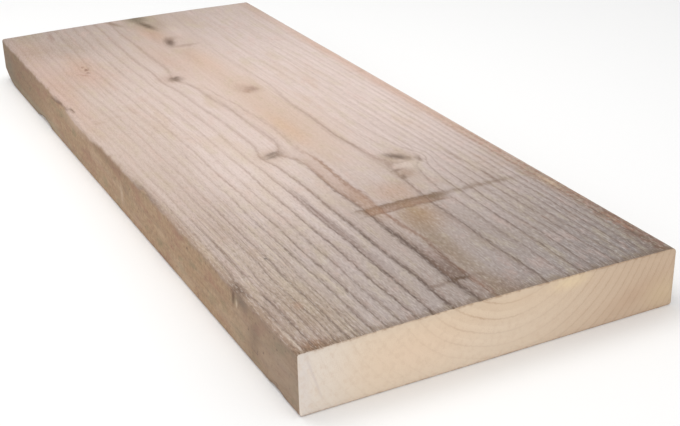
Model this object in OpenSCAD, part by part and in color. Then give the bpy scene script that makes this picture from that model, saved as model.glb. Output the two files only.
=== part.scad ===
// Reclaimed softwood scaffold board, cross-cut to a short length with two fresh ends.
// One sawn piece of solid timber. X runs along the grain, Y across the width and Z up.
// The origin is the centre of the underside. The sawn end at +X is called the near end.

/* [Board] */
// Length along the grain, from one sawn end to the other
board_length = 500; // [300:10:1200]
// Width across the grain
board_width = 195; // [120:5:300]
// Thickness at the long edges
board_thickness = 30; // [22:1:50]

/* [Section] */
// How much higher the top face is along its middle, where the board has cupped in drying
crown = 1; // [0:0.25:3]
// Radius of the two upper long edges, rounded by use
upper_edge_radius = 2.5; // [1:0.5:6]
// Radius of the two lower long edges
lower_edge_radius = 1.5; // [1:0.5:5]

/* [Worn corner] */
// How far the wear under the far left corner reaches along the edge
corner_wear_length = 33; // [20:1:60]
// How far the same wear reaches across the far end
corner_wear_width = 70; // [40:5:100]
// Height worn away at the corner itself
corner_wear_height = 9; // [3:1:12]

/* [Hidden] */

// Dents along the upper and the lower left edge. Each is its place, as a share of the
// length from the near end, then its span along the edge and its depth on the diagonal.
upper_dents = [[0.37, 30, 1.5], [0.54, 140, 2.5], [0.685, 36, 3]];
lower_dents = [[0.045, 18, 1.5], [0.79, 40, 2.5]];

half_width = board_width / 2;
far_end = -board_length / 2;
near_end = board_length / 2;

// Steps in a rounded edge, and in half of the crowned top
edge_steps = 6;
crown_steps = 12;
// Width of a cutter that shapes an edge, and how far any cutter passes the board
cutter_width = 30;
overshoot = 5;
// The corner wear starts this far into the underside, so that it meets it at a clear angle
wear_run_in = 0.2;

// Height of the crowned top at a distance y from the middle
function top_z(y) = board_thickness + crown * (1 - pow(y / half_width, 2));

// Points on an arc about [y, z], from one angle to another
function edge_arc(y, z, radius, from, to) = [
    for (step = [0 : edge_steps])
        let (angle = from + (to - from) * step / edge_steps)
            [y + radius * cos(angle), z + radius * sin(angle)]
];

// Outline of the section: lower left edge, lower right, upper right, crown, upper left
function section_outline() =
    let (
        lower_y = half_width - lower_edge_radius,
        upper_y = half_width - upper_edge_radius,
        upper_z = top_z(upper_y) - upper_edge_radius
    )
    concat(
        edge_arc(-lower_y, lower_edge_radius, lower_edge_radius, 180, 270),
        edge_arc(lower_y, lower_edge_radius, lower_edge_radius, 270, 360),
        edge_arc(upper_y, upper_z, upper_edge_radius, 0, 90),
        [
            for (step = [1 - crown_steps : crown_steps - 1])
                let (y = -upper_y * step / crown_steps) [y, top_z(y)]
        ],
        edge_arc(-upper_y, upper_z, upper_edge_radius, 90, 180)
    );

// The board as it was sawn and planed, with its section the same all along
module sawn_board() {
    rotate([90, 0, 90])
        linear_extrude(height = board_length, center = true)
            polygon(section_outline());
}

// A shallow scoop across a left edge. The tilt turns its depth towards that edge's diagonal.
module edge_dent(place, span, depth, edge_z, tilt) {
    scoop_radius = (pow(span / 2, 2) + pow(depth, 2)) / (2 * depth);
    translate([near_end - place * board_length, -half_width, edge_z])
        rotate([tilt, 0, 0])
            translate([0, 0, scoop_radius - depth])
                rotate([90, 0, 0])
                    cylinder(r = scoop_radius, h = cutter_width, center = true, $fn = 180);
}

// What is worn from under the far left corner: all that lies outside a round that runs
// on a slant across the corner, like the toe of a sledge runner
module corner_wear() {
    slant = atan2(corner_wear_length, corner_wear_width);
    reach = corner_wear_length * cos(slant);
    wear_radius = (pow(reach, 2) + pow(corner_wear_height, 2)) / (2 * corner_wear_height);
    cutter_length = 2 * (corner_wear_length + corner_wear_width);
    translate([far_end + corner_wear_length, -half_width, 0])
        rotate([90, 0, 180 + slant])
            linear_extrude(height = cutter_length, center = true)
                difference() {
                    translate([0, -overshoot])
                        square([reach + overshoot, corner_wear_height + 2 * overshoot]);
                    translate([0, wear_radius - wear_run_in])
                        circle(r = wear_radius, $fn = 120);
                }
}

module plank() {
    color([0.85, 0.77, 0.69])
        difference() {
            sawn_board();
            for (dent = upper_dents)
                edge_dent(dent[0], dent[1], dent[2], board_thickness, 45);
            for (dent = lower_dents)
                edge_dent(dent[0], dent[1], dent[2], 0, 135);
            corner_wear();
        }
}

plank();
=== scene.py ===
import math
import bpy
import numpy as np
from mathutils import Matrix, Vector, geometry, noise


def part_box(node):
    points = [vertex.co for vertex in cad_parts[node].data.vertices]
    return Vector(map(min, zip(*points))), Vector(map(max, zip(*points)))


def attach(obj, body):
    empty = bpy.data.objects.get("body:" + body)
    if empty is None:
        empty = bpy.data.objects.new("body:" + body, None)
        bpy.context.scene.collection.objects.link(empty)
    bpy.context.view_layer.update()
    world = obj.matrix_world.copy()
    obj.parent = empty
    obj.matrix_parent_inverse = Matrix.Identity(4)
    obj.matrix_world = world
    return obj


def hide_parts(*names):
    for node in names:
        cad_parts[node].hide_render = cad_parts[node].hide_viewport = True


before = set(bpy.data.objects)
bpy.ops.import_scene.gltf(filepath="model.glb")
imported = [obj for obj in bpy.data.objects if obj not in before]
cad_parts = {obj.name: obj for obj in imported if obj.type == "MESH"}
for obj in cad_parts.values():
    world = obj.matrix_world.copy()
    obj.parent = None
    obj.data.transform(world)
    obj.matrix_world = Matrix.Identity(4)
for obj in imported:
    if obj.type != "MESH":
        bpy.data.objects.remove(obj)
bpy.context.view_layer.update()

# Studio. A pale floor, one large soft light above the board and a weaker one in front of
# its near end. Nothing in this section belongs to the board.

floor_half = 40.0
floor_drop = 0.0001
floor_mesh = bpy.data.meshes.new("studio_floor")
floor_mesh.from_pydata(
    [(x, y, -floor_drop) for x, y in ((-floor_half, -floor_half), (floor_half, -floor_half),
                                      (floor_half, floor_half), (-floor_half, floor_half))],
    [],
    [(0, 1, 2, 3)],
)
floor_finish = bpy.data.materials.new("studio_floor")
floor_finish.use_nodes = True
floor_shader = floor_finish.node_tree.nodes["Principled BSDF"]
floor_shader.inputs["Base Color"].default_value = (0.94, 0.94, 0.94, 1)
floor_shader.inputs["Emission Color"].default_value = (1, 1, 1, 1)
floor_shader.inputs["Emission Strength"].default_value = 0.042
floor_shader.inputs["Roughness"].default_value = 0.9
floor_mesh.materials.append(floor_finish)
floor = bpy.data.objects.new("studio_floor", floor_mesh)
bpy.context.scene.collection.objects.link(floor)


def aimed(place, aim, roll=0.0):
    """The pose of a light or camera at a place, looking at a point."""
    turn = (Vector(aim) - Vector(place)).to_track_quat("-Z", "Y").to_matrix().to_4x4()
    return Matrix.Translation(place) @ turn @ Matrix.Rotation(roll, 4, "Z")


def soft_light(name, place, aim, size, power, colour):
    """A square lamp that throws soft shadows."""
    lamp = bpy.data.lights.new(name, "AREA")
    lamp.size = size
    lamp.energy = power
    lamp.color = colour
    light = bpy.data.objects.new(name, lamp)
    light.matrix_world = aimed(place, aim)
    bpy.context.scene.collection.objects.link(light)


soft_light(
    "light_above", (-0.12, -0.15, 0.75), (-0.05, 0, 0),
    size=0.5, power=2.45, colour=(1.0, 0.99, 0.97),
)
soft_light(
    "light_front", (1.5, -0.5, 0.45), (0.2, 0, 0),
    size=0.8, power=6.0, colour=(1.0, 1.0, 1.0),
)

sky = bpy.data.worlds.new("studio_sky")
sky.use_nodes = True
sky.node_tree.nodes["Background"].inputs["Color"].default_value = (1, 1, 1, 1)
sky.node_tree.nodes["Background"].inputs["Strength"].default_value = 0.70
bpy.context.scene.world = sky
bpy.context.scene.view_settings.view_transform = "Standard"

lens = bpy.data.cameras.new("camera")
lens.lens = 65.54
lens.sensor_width = 36
camera = bpy.data.objects.new("camera", lens)
camera.matrix_world = aimed(
    (0.6376, -0.2717, 0.2890), (0.0864, 0.0053, 0.0028), roll=math.radians(-1.27)
)
bpy.context.scene.collection.objects.link(camera)
bpy.context.scene.camera = camera


# The plank. One spruce board sawn just below the pith, so its rings lie as arcs about an
# axis over the top face. It was planed, weathered for years and then cut to length. Its
# grain is one field in millimetres, which both its mesh and its finish follow.

MM = 0.001
low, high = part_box("plank")
far_end, near_end = low.x / MM, high.x / MM
half_width = high.y / MM
thickness = high.z / MM


class Shade:
    """A value in the board's finish. Arithmetic with it adds Math nodes."""

    def __init__(self, tree, socket):
        self.tree = tree
        self.socket = socket

    def node(self, kind, settings, values, output=0):
        """Adds any node, with its settings and then the values or links of its sockets."""
        made = self.tree.nodes.new(kind)
        for name, setting in settings.items():
            setattr(made, name, setting)
        for name, value in values.items():
            if isinstance(value, Shade):
                self.tree.links.new(value.socket, made.inputs[name])
            else:
                made.inputs[name].default_value = value
        return Shade(self.tree, made.outputs[output])

    def math(self, operation, *values):
        return self.node("ShaderNodeMath", {"operation": operation}, dict(enumerate(values)))

    def __add__(self, other):
        return self.math("ADD", self, other)

    __radd__ = __add__

    def __sub__(self, other):
        return self.math("SUBTRACT", self, other)

    def __rsub__(self, other):
        return self.math("SUBTRACT", other, self)

    def __mul__(self, other):
        return self.math("MULTIPLY", self, other)

    __rmul__ = __mul__

    def __truediv__(self, other):
        return self.math("DIVIDE", self, other)

    def __rtruediv__(self, other):
        return self.math("DIVIDE", other, self)

    def __neg__(self):
        return self.math("MULTIPLY", self, -1.0)

    def __abs__(self):
        return self.math("ABSOLUTE", self)


def worked(name, array_rule, *values):
    """A Math node for a value of the finish, or the same rule worked on numbers of the mesh."""
    shade = next((value for value in values if isinstance(value, Shade)), None)
    return shade.math(name, *values) if shade else array_rule(*values)


def root(value):
    return worked("SQRT", np.sqrt, value)


def sine(value):
    return worked("SINE", np.sin, value)


def least(one, other):
    return worked("MINIMUM", np.minimum, one, other)


def part(value):
    """What is left of a number above its whole part."""
    return worked("FRACT", lambda number: number - np.floor(number), value)


def hump(*offsets):
    """1 where every offset is 0, and about a third where their squares add up to 1."""
    squares = offsets[0] * offsets[0]
    for offset in offsets[1:]:
        squares = squares + offset * offset
    return worked("EXPONENT", np.exp, -squares)


def rise(value, start, end, top=1.0):
    """Climbs smoothly from 0 at start to a top, which is 1 unless stated, at end."""
    if isinstance(value, Shade):
        smooth = {"interpolation_type": "SMOOTHSTEP"}
        return value.node("ShaderNodeMapRange", smooth, {0: value, 1: start, 2: end, 4: top})
    share = np.clip((value - start) / (end - start), 0.0, 1.0)
    return top * share * share * (3.0 - 2.0 * share)


# The pith runs above the top face. Towards the far end it sways to the left and comes
# down in two steps, as the tree grew.
pith_y = 11.5
pith_z = 61.7
pith_sway = 3.8
pith_steps = (3.2, 1.8)
# The tree grew faster on the left, by this share of the distance across.
lean = 0.114
# Waves in the grain, too small to see one by one.
long_wave, short_wave = 0.15, 0.18

# Where the grain swells out round a branch: x and y on the top face, how far the rings
# are pushed outwards, and how far that reaches along the grain and across it.
swells = [
    (54.7, -19.4, 3.4, 10, 8),
    (-96.8, -20.2, 2.2, 12, 8),
    (92.0, 41.0, 5.0, 30, 10),
    (94.0, 45.0, 10.0, 7.5, 6.5),
    (-55.0, 15.0, 2.5, 14, 12),
    (-173.0, 11.0, 3.0, 18, 10),
    (-147.0, -65.0, 1.5, 8, 4),
    (187.0, -96.0, 2.5, 12, 5),
]


def beside_branch(x, y, z, branch_x, branch_y):
    """How far a point is from a branch that runs out from the pith, along the grain and across."""
    out_y, out_z = branch_y - pith_y, thickness - pith_z
    across = ((y - pith_y) * out_z - (z - pith_z) * out_y) / math.hypot(out_y, out_z)
    return x - branch_x, across


def growth(x, y, z):
    """Distance out from the pith, counted along the way that the tree grew."""
    across = y - pith_y + pith_sway * hump((x + 150) / 80)
    below = pith_z - pith_steps[0] * rise(-x, -20.0, 110.0)
    below = below - pith_steps[1] * rise(-x, 130.0, 250.0) - z
    out = root(across * across + below * below) + lean * across
    for branch_x, branch_y, push, reach, spread in swells:
        along, aside = beside_branch(x, y, z, branch_x, branch_y)
        out = out - push * hump(along / reach, aside / spread)
    out = out + short_wave * sine(x / 9.0 + y / 7.0)
    return out + long_wave * sine(x / 16.0 - y / 5.0 + 2.0)


# The rings are counted from one place out from the pith. They get narrower outwards.
counted_from = 34.0
count_there = 0.83
spacing_there = 7.9
narrowing = 990.0


def beside_ring(out):
    """The nearest growth ring, and how far outside it a place is."""
    beyond = out - counted_from
    count = count_there + beyond / spacing_there + beyond * beyond / narrowing
    nearest = count + 0.5 - part(count + 0.5)
    return nearest, (count - nearest) / (1 / spacing_there + beyond / (narrowing / 2))


def furrowed(x, y):
    """The left flank near the near end, where the weather has torn the grain most."""
    return rise(-y, 40.0, 75.0) * rise(x, 20.0, 150.0)


def inner_two(nearest, y):
    """The two rings next to the heart, on its left."""
    return hump((nearest - 1.5) / 0.9) * rise(-y, -8.0, 0.0)


def ring_strength(nearest, x, y):
    """How dark a ring is: most of all the inner two, and then all of them at the near end."""
    even = 0.12 + 0.10 * hump((y + 48.0) / 24.0) + 0.86 * rise(x, 10.0, 240.0)
    even = even * (0.72 + 0.18 * sine(nearest * 2.1 + 0.8))
    even = even * (1.0 - 0.42 * rise(y, 25.0, 60.0))
    left_of_heart = inner_two(nearest, y) * (0.20 + 0.42 * rise(x, 0.0, 205.0))
    right_of_heart = hump((nearest - 1.0) / 0.5) * rise(y, 10.0, 20.0) * hump((x - 30.0) / 70.0)
    return even * (1.0 - 0.3 * furrowed(x, y)) + left_of_heart + 0.28 * right_of_heart


# Mesh of the board: a loop round its section, repeated along the grain.
crown = 1.0
upper_edge = 2.5
left_edge = 1.2
lower_edge = 1.5
top_steps, side_steps, under_steps = 304, 16, 44
slices = 232


def rounded(centre_y, centre_z, radius, start, steps):
    """A quarter of a round, clockwise from an angle."""
    turns = [math.radians(start - 90 * step / steps) for step in range(steps + 1)]
    return [
        (centre_y + radius * math.cos(turn), centre_z + radius * math.sin(turn)) for turn in turns
    ]


def straight(start, end, steps):
    """The points between two corners, without the corners."""
    whole = np.array(end) - start
    return [tuple(np.array(start) + whole * step / steps) for step in range(1, steps)]


top_y = half_width - upper_edge
edge_z = thickness - crown
side_top = edge_z - upper_edge
low_y = half_width - lower_edge
loop = rounded(left_edge - half_width, edge_z - left_edge, left_edge, 180, 6)
loop += straight((left_edge - half_width, edge_z), (top_y, edge_z), top_steps)
loop += rounded(top_y, side_top, upper_edge, 90, 6)
loop += straight((half_width, side_top), (half_width, lower_edge), side_steps)
loop += rounded(low_y, lower_edge, lower_edge, 0, 4)
loop += straight((low_y, 0), (-low_y, 0), under_steps)
loop += rounded(-low_y, lower_edge, lower_edge, -90, 4)
loop += straight((-half_width, lower_edge), (-half_width, edge_z - left_edge), side_steps)
loop = np.array(loop)
run = np.roll(loop, -1, 0) - np.roll(loop, 1, 0)
outward = np.stack([-run[:, 1], run[:, 0]], 1) / np.hypot(run[:, 0], run[:, 1])[:, None]
loop[:, 1] += crown * (1 - (loop[:, 0] / half_width) ** 2) * rise(loop[:, 1], side_top, edge_z)

# The loops stand closer together towards the near end.
end_bevel = 0.4
crowding = 0.35
shares = np.linspace(0, 1, slices)
shares = shares * (1 + crowding * (1 - shares))
stations = far_end + end_bevel + (near_end - far_end - 2 * end_bevel) * shares
stations = np.concatenate([[far_end], stations, [near_end]])
x = np.repeat(stations[:, None], len(loop), 1)
y = np.repeat(loop[None, :, 0], len(stations), 0)
z = np.repeat(loop[None, :, 1], len(stations), 0)


def rough(x, y, z, along, across):
    """Uneven ground, between -1 and 1, with the given sizes along and across the grain."""
    points = np.stack([x / along, y / across, z / across], -1).reshape(-1, 3)
    return np.array([noise.noise(point) for point in points]).reshape(x.shape)


# The weather has sunk the top face along its rings, over its furrows and at its knots,
# and has left the whole board a little uneven. The underside has only a share of it.
ring_depth = 0.26
furrow_depth = 0.22
wave_depth = 0.16
ripple_depth = 0.08
knot_depth = 0.25
under_share = 0.15
facing_up = np.clip(outward[:, 1], 0, 1)[None, :]
facing_down = np.clip(-outward[:, 1], 0, 1)[None, :]
nearest, outside = beside_ring(growth(x, y, z))
groove = hump(outside / 0.7) * ring_strength(nearest, x, y)
ragged = furrowed(x, y)
furrows = ragged * (0.5 + 0.5 * rough(x, y, z, along=22.0, across=1.5))
sink = facing_up * (ring_depth * groove + furrow_depth * furrows)
sink = sink + wave_depth * (0.5 + 0.5 * rough(x, y, z, along=60.0, across=22.0))
sink = sink + ripple_depth * (0.5 + 0.5 * rough(x, y, z, along=9.0, across=2.0))
for branch_x, branch_y, *_ in swells:
    along, aside = beside_branch(x, y, z, branch_x, branch_y)
    sink = sink + knot_depth * facing_up * hump(along / 5.0, aside / 4.0)
sink = sink * (1 - (1 - under_share) * facing_down)
sink[[0, -1]] += end_bevel
y = y - sink * outward[None, :, 0]
z = z - sink * outward[None, :, 1]


def cut_edge(y, z, edge_y, edge_z, depth):
    """Takes an edge down to a flat across its corner, at a depth on the diagonal."""
    side, above = np.sign(edge_y), 1.0 if edge_z > thickness / 2 else -1.0
    past = ((y - edge_y) * side + (z - edge_z) * above) / math.sqrt(2) + depth
    back = np.clip(past, 0, None) / math.sqrt(2)
    return y - back * side, z - back * above


# Dents along the left edges, as a share of the length from the near end, span and depth.
upper_dents = [(0.37, 30, 1.5), (0.54, 140, 2.5), (0.685, 36, 3.0)]
lower_dents = [(0.045, 18, 1.5), (0.79, 40, 2.5)]


def dent_depth(x, dents):
    """How deep the dents are along an edge. It is far below zero where there is none."""
    depth = np.full_like(x, -9.0)
    for place, span, deep in dents:
        radius = ((span / 2) ** 2 + deep**2) / (2 * deep)
        away = x - (near_end - place * (near_end - far_end))
        depth = np.maximum(depth, deep - away**2 / (2 * radius))
    return depth


def chipped(x, lane, coarse, fine):
    """Uneven wear along an edge, different for each lane."""
    flat = x * 0
    slow = coarse * rough(x, flat + lane, flat, along=32.0, across=1.0)
    return slow + fine * rough(x, flat + lane + 5, flat, along=5.0, across=1.0)


# The upper left edge is least worn just behind the saw cut.
upper_wear = 1.0 + chipped(x, lane=3.0, coarse=0.8, fine=0.35)
upper_wear = upper_wear * (1 - 0.8 * rise(x, 200.0, 246.0))
upper_dented = dent_depth(x, upper_dents) + chipped(x, lane=13.0, coarse=0.3, fine=0.3)
lower_wear = 0.6 + chipped(x, lane=23.0, coarse=0.5, fine=0.3)
lower_dented = dent_depth(x, lower_dents) + chipped(x, lane=33.0, coarse=0.2, fine=0.3)
right_upper_wear = 0.9 + chipped(x, lane=43.0, coarse=0.8, fine=0.45)
right_lower_wear = 0.5 + chipped(x, lane=53.0, coarse=0.3, fine=0.2)
y, z = cut_edge(y, z, -half_width, edge_z, np.maximum(upper_wear, upper_dented))
y, z = cut_edge(y, z, -half_width, 0.0, np.maximum(lower_wear, lower_dented))
y, z = cut_edge(y, z, half_width, edge_z, right_upper_wear)
y, z = cut_edge(y, z, half_width, 0.0, right_lower_wear)

# The far left lower corner is worn to a slanting round.
corner_length, corner_width, corner_height = 33.0, 70.0, 9.0
slant = math.atan2(corner_length, corner_width)
reach = corner_length * math.cos(slant)
corner_radius = (reach**2 + corner_height**2) / (2 * corner_height)
past = -(x - far_end - corner_length) * math.cos(slant) - (y + half_width) * math.sin(slant)
past_squared = np.clip(past, 0, reach + 5) ** 2
worn_z = corner_radius - np.sqrt(np.clip(corner_radius**2 - past_squared, 0, None))
# What is lifted keeps a trace of its old height, so that no two points fall together.
kept_height = 0.02
z = np.where(past > 0, np.maximum(z, worn_z + kept_height * z), z)

y = np.clip(y, -half_width, half_width)
z = np.clip(z, 0, thickness)
points = np.stack([x, y, z], -1).reshape(-1, 3).tolist()
around = len(loop)
faces = []
for start in range(0, (len(stations) - 1) * around, around):
    for step in range(around):
        here, onward = start + step, start + (step + 1) % around
        faces.append((here, here + around, onward + around, onward))

# The two sawn ends are filled with a grid of points that the saw has left uneven, joined
# to the last loops. The grid keeps clear of the worn corner at the far end.
grid_across, grid_up = 3.0, 2.6
saw_depth = 0.12
inside_only, least_gap = 1, 1e-6
for end_index, facing in ((0, -1), (len(stations) - 1, 1)):
    outline = [(y[end_index, step], z[end_index, step]) for step in range(around)]
    grid = [
        (grid_y, grid_z)
        for grid_y in np.arange(-half_width + 3, half_width - 2, grid_across)
        for grid_z in np.arange(3.0, edge_z - 1.5, grid_up)
        if facing > 0 or grid_z > 2.5 + 9.0 * hump((grid_y + half_width) / 45)
    ]
    flat = [Vector(corner) for corner in outline + grid]
    edges = [(step, (step + 1) % around) for step in range(around)]
    filled = geometry.delaunay_2d_cdt(flat, edges, [], inside_only, least_gap)
    found, _, triangles, sources, _, _ = filled
    index = []
    for corner, source in zip(found, sources):
        if source and source[0] < around:
            index.append(end_index * around + source[0])
        else:
            saw = saw_depth * (0.5 + 0.5 * noise.noise((corner.x / 3, corner.y / 3, facing)))
            index.append(len(points))
            points.append([stations[end_index] - facing * saw, corner.x, corner.y])
    for triangle in triangles:
        first, second, third = (index[corner] for corner in triangle)
        faces.append((first, second, third) if facing > 0 else (first, third, second))

board_mesh = bpy.data.meshes.new("plank_board")
board_mesh.from_pydata((np.array(points) * MM).tolist(), [], faces)
board_mesh.validate()
board_mesh.update()
board_mesh.polygons.foreach_set("use_smooth", [True] * len(board_mesh.polygons))
board_mesh.set_sharp_from_angle(angle=math.radians(50))
board = bpy.data.objects.new("plank_board", board_mesh)
bpy.context.scene.collection.objects.link(board)


def paint(red, green, blue):
    """A colour given as on a screen, as the light it sends back."""
    levels = [value / 255 for value in (red, green, blue)]
    return tuple(((level + 0.055) / 1.055) ** 2.4 for level in levels) + (1.0,)


def coat(under, over, amount):
    """Lays one colour over another by an amount that is a value of the finish."""
    colours = {0: amount, 6: under, 7: over}
    return amount.node("ShaderNodeMix", {"data_type": "RGBA"}, colours, 2)


finish = bpy.data.materials.new("weathered_softwood")
finish.use_nodes = True
tree = finish.node_tree
shader = tree.nodes["Principled BSDF"]
place = Shade(tree, tree.nodes.new("ShaderNodeTexCoord").outputs["Object"])
place = place.node("ShaderNodeVectorMath", {"operation": "SCALE"}, {0: place, "Scale": 1 / MM})
x, y, z = (place.node("ShaderNodeSeparateXYZ", {}, {0: place}, axis) for axis in range(3))


def grain_noise(along, across, detail, seed):
    """Random streaks with the given sizes along and across the grain, about 0.5."""
    where = place.node(
        "ShaderNodeVectorMath", {"operation": "MULTIPLY_ADD"},
        {0: place, 1: (1 / along, 1 / across, 1 / across), 2: (seed, seed, seed)},
    )
    return where.node(
        "ShaderNodeTexNoise", {},
        {"Vector": where, "Scale": 1.0, "Detail": detail, "Roughness": 0.6},
    )


def window(value, start, end, edge):
    """1 between start and end, with a soft edge outside them."""
    return rise(value, start - edge, start) * (1.0 - rise(value, end, end + edge))


def face_place(across, up):
    """A place on one face, as a flat vector."""
    return across.node("ShaderNodeCombineXYZ", {}, {0: across, 1: up})


def spot(where, strength, across, up, half_across, half_up, turn=0.0):
    """A soft oval mark on a face, turned anticlockwise by some degrees."""
    within = where.node(
        "ShaderNodeMapping", {"vector_type": "TEXTURE"},
        {
            "Vector": where,
            "Location": (across, up, 0),
            "Rotation": (0, 0, math.radians(turn)),
            "Scale": (1.8 * half_across, 1.8 * half_up, 1),
        },
    )
    fade = within.node("ShaderNodeTexGradient", {"gradient_type": "SPHERICAL"}, {0: within}, 1)
    return rise(fade, 0.0, 1.0, strength)


# The rings on the faces: thin dark lines, beaded and a little ragged, each with a soft
# brown shade on the side of the pith. They fade out over three of the knots.
jag = grain_noise(along=5.0, across=1.6, detail=2.0, seed=1.0)
bead = grain_noise(along=13.0, across=3.0, detail=3.0, seed=5.0)
streak = grain_noise(along=60.0, across=1.1, detail=4.0, seed=3.0)
blotch = grain_noise(along=55.0, across=20.0, detail=3.0, seed=11.0)
speckle = grain_noise(along=3.0, across=0.7, detail=2.0, seed=17.0)
fibre = grain_noise(along=24.0, across=0.45, detail=3.0, seed=7.0)
cloud = grain_noise(along=20.0, across=8.0, detail=4.0, seed=23.0)
mottle = place.node("ShaderNodeTexNoise", {}, {"Vector": place, "Scale": 0.45, "Detail": 4.0})
top_place = face_place(x + 5.0 * (bead - 0.5), y + 2.4 * (jag - 0.5))
out = growth(x, y, z)
nearest, outside = beside_ring(out + 1.6 * (jag - 0.5))
strength = ring_strength(nearest, x, y) * (0.25 + 1.5 * bead)
for branch in ((91, 41, 8, 8), (-168, 10, 15, 12), (-235, 2, 16, 8)):
    strength = strength * (1.0 - spot(top_place, 1.0, *branch))
right_flank = rise(y, 20.0, 65.0) * rise(x, 60.0, 190.0)
inner_wide = inner_two(nearest, y) * rise(x, 60.0, 200.0)
line_width = 0.42 + rise(-x, -170.0, 60.0, 0.4) + 0.12 * right_flank + 0.38 * inner_wide
line = hump(outside / line_width) * strength
shade_strength = strength + rise(y, 25.0, 70.0, 0.28) * rise(x, -160.0, 90.0)
shade = rise(outside, -2.6, -0.1) * (1.0 - rise(outside, 0.0, 0.7)) * shade_strength

# One more line, left of the pith, that is no full year's ring.
left_of_pith = rise(-y, -8.0, -3.0)
false_ring = hump((out - 32.1 + 1.6 * (jag - 0.5)) / 0.36) * left_of_pith
false_ring = false_ring * rise(x, -90.0, -50.0) * (0.35 + 0.65 * rise(x, 60.0, 80.0))
false_ring = false_ring * (0.3 + 1.4 * bead)

# The top face: pinkish and pale in the middle, tan along the heart, grey at the near end.
# It also darkens towards both ends, which is partly painted shade for the lamps' falloff.
near = rise(x, 0.0, 290.0)
far = rise(-x, 60.0, 300.0)
ragged = furrowed(x, y)
weathering_and_shade = coat(paint(222, 203, 196), paint(205, 184, 173), rise(streak, 0.35, 0.75, 0.8))
weathering_and_shade = coat(weathering_and_shade, paint(206, 177, 156), hump((y - 8) / 17) * rise(-x, -150.0, 0.0, 0.55))
weathering_and_shade = coat(weathering_and_shade, paint(206, 182, 162), rise(blotch, 0.48, 0.7, 0.5))
left_flank = rise(-y, 38.0, 72.0, 0.30) * window(x, -115.0, 25.0, 70.0)
weathering_and_shade = coat(weathering_and_shade, paint(170, 148, 126), left_flank)
# Partly painted shade, partly weathered grey: darker towards the near end, most on the right.
weathering_and_shade = coat(weathering_and_shade, paint(118, 111, 108), near * (0.71 + 0.0027 * y))
# Partly painted shade: darker towards the far end, most on the left.
weathering_and_shade = coat(weathering_and_shade, paint(110, 96, 86), far * (0.49 - 0.002 * y))
weathering_and_shade = coat(weathering_and_shade, paint(120, 104, 94), (0.10 + 0.30 * near) * rise(fibre, 0.50, 0.75))
weathering_and_shade = coat(weathering_and_shade, paint(228, 218, 210), (0.08 + 0.25 * near) * rise(-fibre, -0.46, -0.25))
weathering_and_shade = coat(weathering_and_shade, paint(196, 182, 150), rise(cloud, 0.50, 0.68, 0.24))
weathering_and_shade = coat(weathering_and_shade, paint(214, 180, 168), rise(-cloud, -0.46, -0.32, 0.20))
torn = streak + 0.4 * (speckle - 0.5)
weathering_and_shade = coat(weathering_and_shade, paint(218, 204, 186), ragged * rise(torn, 0.49, 0.66, 0.66))
weathering_and_shade = coat(weathering_and_shade, paint(112, 92, 72), ragged * rise(-torn, -0.46, -0.32, 0.66))
weathering_and_shade = coat(weathering_and_shade, paint(146, 116, 88), rise(-y, 90.0, 97.0, 0.55) * rise(x, -40.0, 120.0))

# The right edge is rubbed brown, in patches.
worn_edge = rise(y + 10.0 * (cloud - 0.5), 85.5, 90.0) * rise(x, -60.0, 130.0)
weathering_and_shade = coat(weathering_and_shade, paint(158, 146, 120), worn_edge * rise(-mottle, -0.52, -0.40, 0.42))
weathering_and_shade = coat(weathering_and_shade, paint(148, 104, 80), worn_edge * rise(mottle, 0.44, 0.58, 0.50))
dark_patches = worn_edge * rise(bead, 0.46, 0.60, 0.5) * rise(x, 130.0, 235.0)
weathering_and_shade = coat(weathering_and_shade, paint(98, 78, 64), dark_patches)

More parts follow.
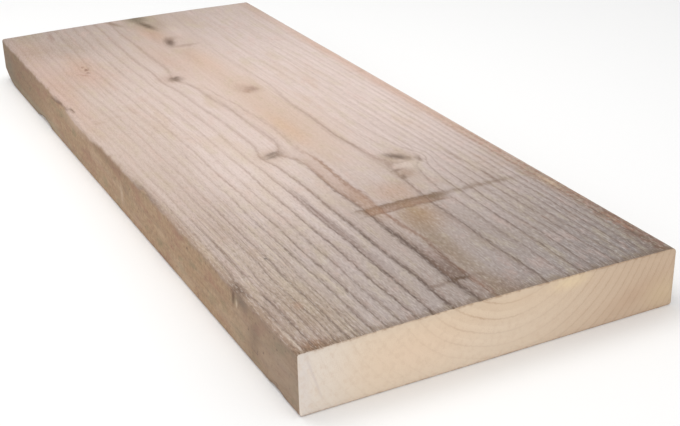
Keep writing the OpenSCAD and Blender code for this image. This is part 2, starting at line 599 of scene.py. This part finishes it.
# Tints that have soaked in: colour, strength, x, y, half length, half width, turn.
tints = [
    (paint(214, 168, 128), 0.35, 20, 5, 26, 5, 0),
    (paint(200, 172, 146), 0.35, 10, 14, 60, 18, 0),
    (paint(222, 182, 150), 0.22, -125, 8, 26, 9, 0),
    (paint(206, 160, 130), 0.32, -203, 0, 22, 7, 0),
    (paint(190, 154, 130), 0.38, -138, -12, 45, 8, 4),
    (paint(200, 158, 136), 0.45, -142, -68, 34, 14, 0),
    (paint(196, 150, 126), 0.35, -120, -92, 75, 8, 0),
    (paint(188, 152, 130), 0.30, -215, -85, 40, 14, 0),
    (paint(206, 160, 130), 0.39, -30, 93, 180, 4.5, 0),
    (paint(176, 146, 128), 0.28, -235, 92, 40, 7, 0),
    (paint(150, 122, 98), 0.34, 160, 91, 28, 5, 0),
    (paint(112, 84, 60), 0.32, 243, 90, 16, 6, 0),
    (paint(220, 202, 196), 0.32, -200, 16, 16, 6, 0),
    (paint(144, 98, 68), 0.50, 214, 93, 13, 2.6, 0),
    (paint(150, 106, 78), 0.45, 178, 95, 10, 2.4, 0),
    (paint(206, 180, 152), 0.50, 158, 92, 8, 3.0, 0),
    (paint(156, 118, 72), 0.62, 162, 11, 17, 11, -20),
    (paint(140, 118, 92), 0.50, 190, 6, 34, 6, -4),
    (paint(180, 140, 108), 0.44, 131, 13, 12, 12, 0),
    (paint(158, 122, 94), 0.55, 130, -5, 22, 3.4, 0),
    (paint(126, 98, 74), 0.55, 242, 4, 10, 11, 0),
    (paint(146, 108, 80), 0.85, 247, -88, 5, 8, 0),
    (paint(150, 122, 98), 0.45, 225, -84, 45, 16, 0),
    (paint(160, 132, 108), 0.25, 120, -80, 60, 14, 0),
    (paint(150, 138, 112), 0.40, -236, 6, 24, 12, 0),
    (paint(160, 152, 132), 0.35, -243, -80, 16, 10, 0),
    (paint(186, 164, 146), 0.25, -115, -34, 120, 22, 0),
    (paint(158, 138, 120), 0.32, -202, -66, 20, 27, 0),
    (paint(236, 218, 208), 0.26, 85, -38, 60, 24, 0),
    (paint(236, 218, 210), 0.16, 0, 74, 110, 9, 0),
    (paint(120, 104, 88), 0.20, 187, 26, 32, 9, 0),
    (paint(134, 112, 86), 0.34, 208, 3, 38, 5, 0),
    (paint(206, 192, 168), 0.22, 205, -76, 40, 8, 0),
    (paint(150, 124, 96), 0.20, 165, -14, 40, 9, 0),
    (paint(140, 122, 104), 0.25, 232, -16, 24, 9, 0),
    (paint(176, 152, 130), 0.16, 60, -82, 130, 12, 0),
    (paint(224, 206, 194), 0.40, 101, 38, 6, 5, 0),
    (paint(198, 178, 168), 0.60, -168, 13, 12, 10, 0),
]
for colour, *mark in tints:
    weathering_and_shade = coat(weathering_and_shade, colour, spot(top_place, *mark))

line_brown = paint(94, 74, 62)
line_tone = coat(paint(134, 100, 78), line_brown, rise(x, 60.0, 180.0))
weathering_and_shade = coat(weathering_and_shade, paint(122, 94, 78), 0.42 * shade)
weathering_and_shade = coat(weathering_and_shade, line_tone, least(0.85 * line, 0.9))
weathering_and_shade = coat(weathering_and_shade, paint(128, 92, 70), 0.6 * false_ring)

# Water has stained it brown: across the board where a batten lay, and between two rings.
# The stains have uneven edges.
uneven_x = x + 4.0 * (bead - 0.5)
batten = window(uneven_x, 143.5, 150.5, 1.9) * window(y, -8.0, 29.0, 7.0)
weathering_and_shade = coat(weathering_and_shade, paint(136, 95, 62), 0.55 * batten)
batten_edges = hump((uneven_x - 142.8) / 1.0) + 0.7 * hump((uneven_x - 151.2) / 1.0)
weathering_and_shade = coat(weathering_and_shade, paint(104, 80, 64), 0.42 * batten_edges * window(y, -12.0, 31.0, 6.0))
batten_end = hump((uneven_x - 146.5) / 4.5) * window(y, 27.0, 34.0, 3.0)
weathering_and_shade = coat(weathering_and_shade, paint(116, 98, 76), 0.55 * batten_end)
batten_trail = hump((uneven_x - 144.5) / 2.6) * window(y, -8.0, 72.0, 14.0)
weathering_and_shade = coat(weathering_and_shade, paint(112, 86, 56), 0.42 * batten_trail)
between = window(out, 32.1, 35.0, 0.5) * left_of_pith
weathering_and_shade = coat(weathering_and_shade, paint(184, 146, 122), 0.25 * between * window(x, 80.0, 142.0, 28.0))
soaked = between * rise(x, 178.0, 222.0, 0.68) * (1.0 - rise(uneven_x, 227.5, 229.5))
weathering_and_shade = coat(weathering_and_shade, paint(106, 80, 64), soaked)
soaked_end = hump((uneven_x - 228.2) / 1.8) * window(y, -12.0, -4.0, 3.0)
weathering_and_shade = coat(weathering_and_shade, paint(76, 56, 40), 0.86 * soaked_end)
end_trail = hump((uneven_x - 228.5) / 2.0) * window(y, -20.0, 3.0, 6.0)
weathering_and_shade = coat(weathering_and_shade, paint(120, 94, 76), 0.40 * end_trail)
third_band = hump((nearest - 3.0) / 0.5) * left_of_pith * hump((outside + 1.8) / 1.9)
third_band = third_band * window(x, 125.0, 180.0, 45.0) * (0.2 + 1.6 * rise(streak, 0.3, 0.7))
weathering_and_shade = coat(weathering_and_shade, paint(116, 92, 82), 0.40 * third_band)

# Knots and other dark marks on the top face, given as the tints are. The dark line in the
# dent on the left edge is painted shadow.
marks = [
    (paint(180, 150, 130), 0.50, 54, -20, 8, 9, 0),
    (paint(112, 94, 76), 0.54, 54.7, -19.4, 3.6, 6.0, 18),
    (paint(76, 60, 46), 0.42, 52, -18.5, 1.1, 4.2, 14),
    (paint(76, 60, 46), 0.36, 57, -21.5, 1.0, 3.4, 20),
    (paint(176, 142, 124), 0.40, -99, -23, 9, 8, 0),
    (paint(112, 92, 74), 0.70, -96.8, -20.2, 4.6, 4.4, 0),
    (paint(84, 66, 52), 0.50, -100, -19.5, 1.6, 3.0, 0),
    (paint(176, 148, 126), 0.45, 90, 40, 11, 9, 45),
    (paint(104, 86, 70), 0.70, 90, 39.5, 7.2, 3.6, 46),
    (paint(76, 60, 48), 0.25, 88, 38, 5.0, 2.0, 46),
    (paint(120, 98, 80), 0.60, 98, 48.5, 4, 1.4, -10),
    (paint(150, 120, 96), 0.55, 112.5, 31.5, 6.0, 5.0, -30),
    (paint(104, 80, 62), 0.60, 116, 28.6, 2.8, 1.4, -20),
    (paint(116, 92, 74), 0.50, 107, 30.0, 1.2, 3.6, 10),
    (paint(176, 142, 126), 0.42, -55, 15, 7, 6, 0),
    (paint(142, 114, 98), 0.52, -54, 16, 4.4, 3.0, 0),
    (paint(160, 122, 100), 0.40, -51, 11, 4.0, 2.5, 0),
    (paint(100, 76, 60), 0.92, -176, 4.6, 9.0, 3.4, -12),
    (paint(150, 122, 106), 0.50, -164, 12, 3, 8, 0),
    (paint(150, 124, 108), 0.45, -185, 8, 4, 5, 30),
    (paint(98, 78, 56), 0.90, -226, 4, 13, 3.0, 10),
    (paint(104, 92, 70), 0.75, -247, 3, 10, 6.5, 0),
    (paint(130, 106, 82), 0.60, -241, -16, 10, 2.4, 20),
    (paint(126, 88, 70), 0.80, -147, -65, 2.6, 1.4, -20),
    (paint(126, 88, 70), 0.60, -140, -66, 2.2, 1.2, 0),
    (paint(140, 100, 82), 0.55, -153, -66, 1.8, 1.0, 0),
    (paint(150, 106, 88), 0.45, -137, -70, 4.0, 1.2, 30),
    # Painted shadow in the dent on the upper left edge.
    (paint(84, 58, 42), 0.75, -95, -96.8, 12, 0.9, 2),
    (paint(110, 84, 66), 0.70, -76, -95.4, 5, 0.8, 0),
    (paint(150, 122, 108), 0.60, -233, -66, 11, 1.8, -8),
    (paint(110, 88, 72), 0.60, 68, -97, 18, 1.3, 0),
    (paint(60, 56, 54), 0.85, 167, -74, 0.8, 0.6, 0),
    (paint(112, 84, 64), 0.65, 136, 69, 9, 1.1, -3),
    (paint(140, 116, 98), 0.50, 104, 67, 9, 0.9, 2),
    (paint(206, 188, 168), 0.55, 187, -90.5, 10, 1.2, 0),
    (paint(216, 200, 184), 0.60, 238, -94.6, 14, 0.8, 0),
    (paint(200, 180, 156), 0.45, 150, -95, 20, 1.6, 0),
    (paint(108, 86, 70), 0.70, 187, -96.5, 8, 2.6, 0),
    (paint(176, 132, 104), 0.32, 214, -80, 3.0, 2.0, 0),
]
for colour, *mark in marks:
    weathering_and_shade = coat(weathering_and_shade, colour, spot(top_place, *mark))

# A brown rim behind the near saw cut, then dark and pale specks over the whole face.
rim = rise(x + 8.0 * (bead - 0.5) + 3.0 * (jag - 0.5), near_end - 6.5, near_end - 0.8)
weathering_and_shade = coat(weathering_and_shade, paint(112, 88, 60), 0.46 * rim)
dark_specks = (0.14 + 0.20 * near + 0.16 * ragged) * rise(speckle, 0.5, 0.75)
weathering_and_shade = coat(weathering_and_shade, paint(70, 56, 48), dark_specks)
pale_specks = (0.10 + 0.12 * near + 0.05 * ragged) * rise(-speckle, -0.5, -0.3)
weathering_and_shade = coat(weathering_and_shade, paint(240, 232, 226), pale_specks)

# The sides and the underside: brown and blotched, less worn than the top.
side_tone = coat(paint(171, 142, 113), paint(151, 119, 91), rise(streak, 0.35, 0.7, 0.25))
side_tone = coat(side_tone, paint(136, 108, 86), rise(mottle, 0.50, 0.66, 0.42))
side_tone = coat(side_tone, paint(186, 164, 136), rise(-mottle, -0.47, -0.34, 0.36))
side_tone = coat(side_tone, paint(156, 114, 96), rise(cloud, 0.50, 0.66, 0.55))
side_tone = coat(side_tone, paint(140, 128, 98), rise(-cloud, -0.46, -0.32, 0.60))
side_tone = coat(side_tone, paint(190, 164, 138), rise(blotch, 0.52, 0.70, 0.5))
side_tone = coat(side_tone, paint(100, 78, 60), rise(-x, 90.0, 230.0, 0.52))
side_tone = coat(side_tone, paint(134, 118, 106), rise(x, 150.0, 240.0, 0.5))
side_tone = coat(side_tone, paint(110, 88, 72), rise(fibre, 0.50, 0.75, 0.25))
side_tone = coat(side_tone, paint(84, 62, 48), rise(speckle, 0.54, 0.76, 0.30))
side_tone = coat(side_tone, paint(72, 54, 42), rise(mottle, 0.66, 0.74, 0.55))
side_line = (0.12 + rise(-z, -0.9, -0.2, 0.28)) * hump(outside / 0.6) * (0.2 + 1.3 * bead)
side_tone = coat(side_tone, line_brown, side_line)

# Marks on the left side, given as the tints are, with z in place of y. Three are painted
# shadow in dents, and one is a painted highlight.
side_marks_and_painted_light = [
    # Painted shadow in the same dent, on the side.
    (paint(92, 64, 46), 0.85, -97, 28.4, 20, 1.2, 8),
    (paint(120, 90, 72), 0.40, 0, 25, 40, 4, 0),
    (paint(196, 170, 150), 0.50, -62, 26, 26, 5, 4),
    (paint(120, 116, 104), 0.40, -236, 10, 14, 14, 0),
    (paint(200, 180, 160), 0.45, 21.5, 12, 2.6, 5.0, 0),
    (paint(124, 100, 82), 0.45, 29, 18, 4, 3, 0),
    (paint(150, 144, 122), 0.45, -150, 4, 80, 2.6, 0),
    (paint(92, 66, 50), 0.78, 183, 24.5, 1.6, 4.6, -12),
    # A painted highlight below the near knot.
    (paint(208, 188, 166), 0.75, 186.6, 22.6, 1.0, 2.0, -12),
    (paint(112, 96, 84), 0.70, 193, 26.5, 7, 4.4, 0),
    # Painted shadow in the two dents along the lower left edge, this line and the next.
    (paint(88, 72, 58), 0.65, -145, 1, 22, 2.2, 0),
    (paint(88, 72, 58), 0.65, 226, 0, 10, 2.0, 0),
    (paint(112, 92, 76), 0.45, 205, 14, 5, 8, -20),
]
out_of_reach = 1000.0
side_place = face_place(x, z + rise(y, -96.0, -90.0, out_of_reach))
for colour, *mark in side_marks_and_painted_light:
    side_tone = coat(side_tone, colour, spot(side_place, *mark))

# The sawn ends: clean pale wood, yellower to the right, with faint rings.
end_tone = coat(paint(216, 198, 177), paint(193, 169, 145), rise(y, -25.0, 100.0))
end_tone = coat(end_tone, paint(216, 206, 196), rise(-y, 60.0, 95.0, 0.8))
ring_show = 0.07 + 0.30 * hump((y + 8) / 24, (z - 26) / 14) + rise(y, 15.0, 50.0, 0.17)
end_line = hump(outside / 0.35) + rise(outside, -3.0, 0.0, 0.3)
end_tone = coat(end_tone, paint(150, 112, 82), ring_show * (0.3 + 1.4 * cloud) * end_line)

# Marks on the ends, given as the tints are, with y and z in place of x and y.
end_marks = [
    (paint(206, 176, 140), 0.25, -5, 28, 45, 10, 0),
    (paint(184, 168, 164), 0.40, -90.6, 18, 0.6, 11, 17),
    (paint(206, 198, 196), 0.45, -95, 18, 3, 16, 0),
    (paint(172, 138, 112), 0.30, 74, 11, 16, 5, 20),
    (paint(206, 184, 146), 0.35, 92, 8, 10, 8, 0),
    (paint(230, 208, 168), 0.50, 37, 28, 9, 3.5, 0),
    (paint(224, 188, 156), 0.25, -42, 16, 26, 11, 0),
]
end_place = face_place(y, z)
for colour, *mark in end_marks:
    end_tone = coat(end_tone, colour, spot(end_place, *mark))
end_tone = coat(end_tone, paint(196, 170, 146), rise(mottle, 0.45, 0.7, 0.25))

# The old grey skin of the board shows as a thin brown line along the top of the fresh wood.
# The brown line along its bottom is partly that skin and partly painted shade for the shadow under
# the end.
below_top = thickness - crown / half_width**2 * y * y - z
end_tone = coat(end_tone, paint(140, 106, 80), rise(2.2 * mottle - below_top, 0.1, 1.2, 0.6))
# Partly painted shade: a brown line along the bottom edge of each end.
end_tone = coat(end_tone, paint(150, 112, 84), rise(-z - 2.5 * mottle, -2.4, -1.0, 0.5))

# Where one face gives way to the next.
edge_line = grain_noise(along=16.0, across=60.0, detail=2.0, seed=31.0)
long_dent = hump((x + 58.0) / 42.0) * rise(-y, 90.0, 95.0)
side_from = 28.3 - 3.6 * long_dent + 5.0 * (edge_line - 0.5)
is_side = 1.0 - rise(z - side_from + 3.0 * (cloud - 0.5), -1.4, 1.4)
is_end = rise(abs(x), near_end - 0.45, near_end - 0.25)
colour = coat(weathering_and_shade, side_tone, is_side)
colour = coat(colour, end_tone, is_end)
tree.links.new(colour.socket, shader.inputs["Base Color"])
dullness = 0.88 - 0.2 * least(line, 1.0)
tree.links.new(dullness.socket, shader.inputs["Roughness"])
height = fibre + 0.4 * speckle - 0.9 * line * (1.0 - is_end) - 0.5 * false_ring
relief = height.node(
    "ShaderNodeBump", {}, {"Strength": 0.5, "Distance": 0.4 * MM, "Height": height}
)
tree.links.new(relief.socket, shader.inputs["Normal"])
board_mesh.materials.append(finish)
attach(board, "root")
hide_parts("plank")
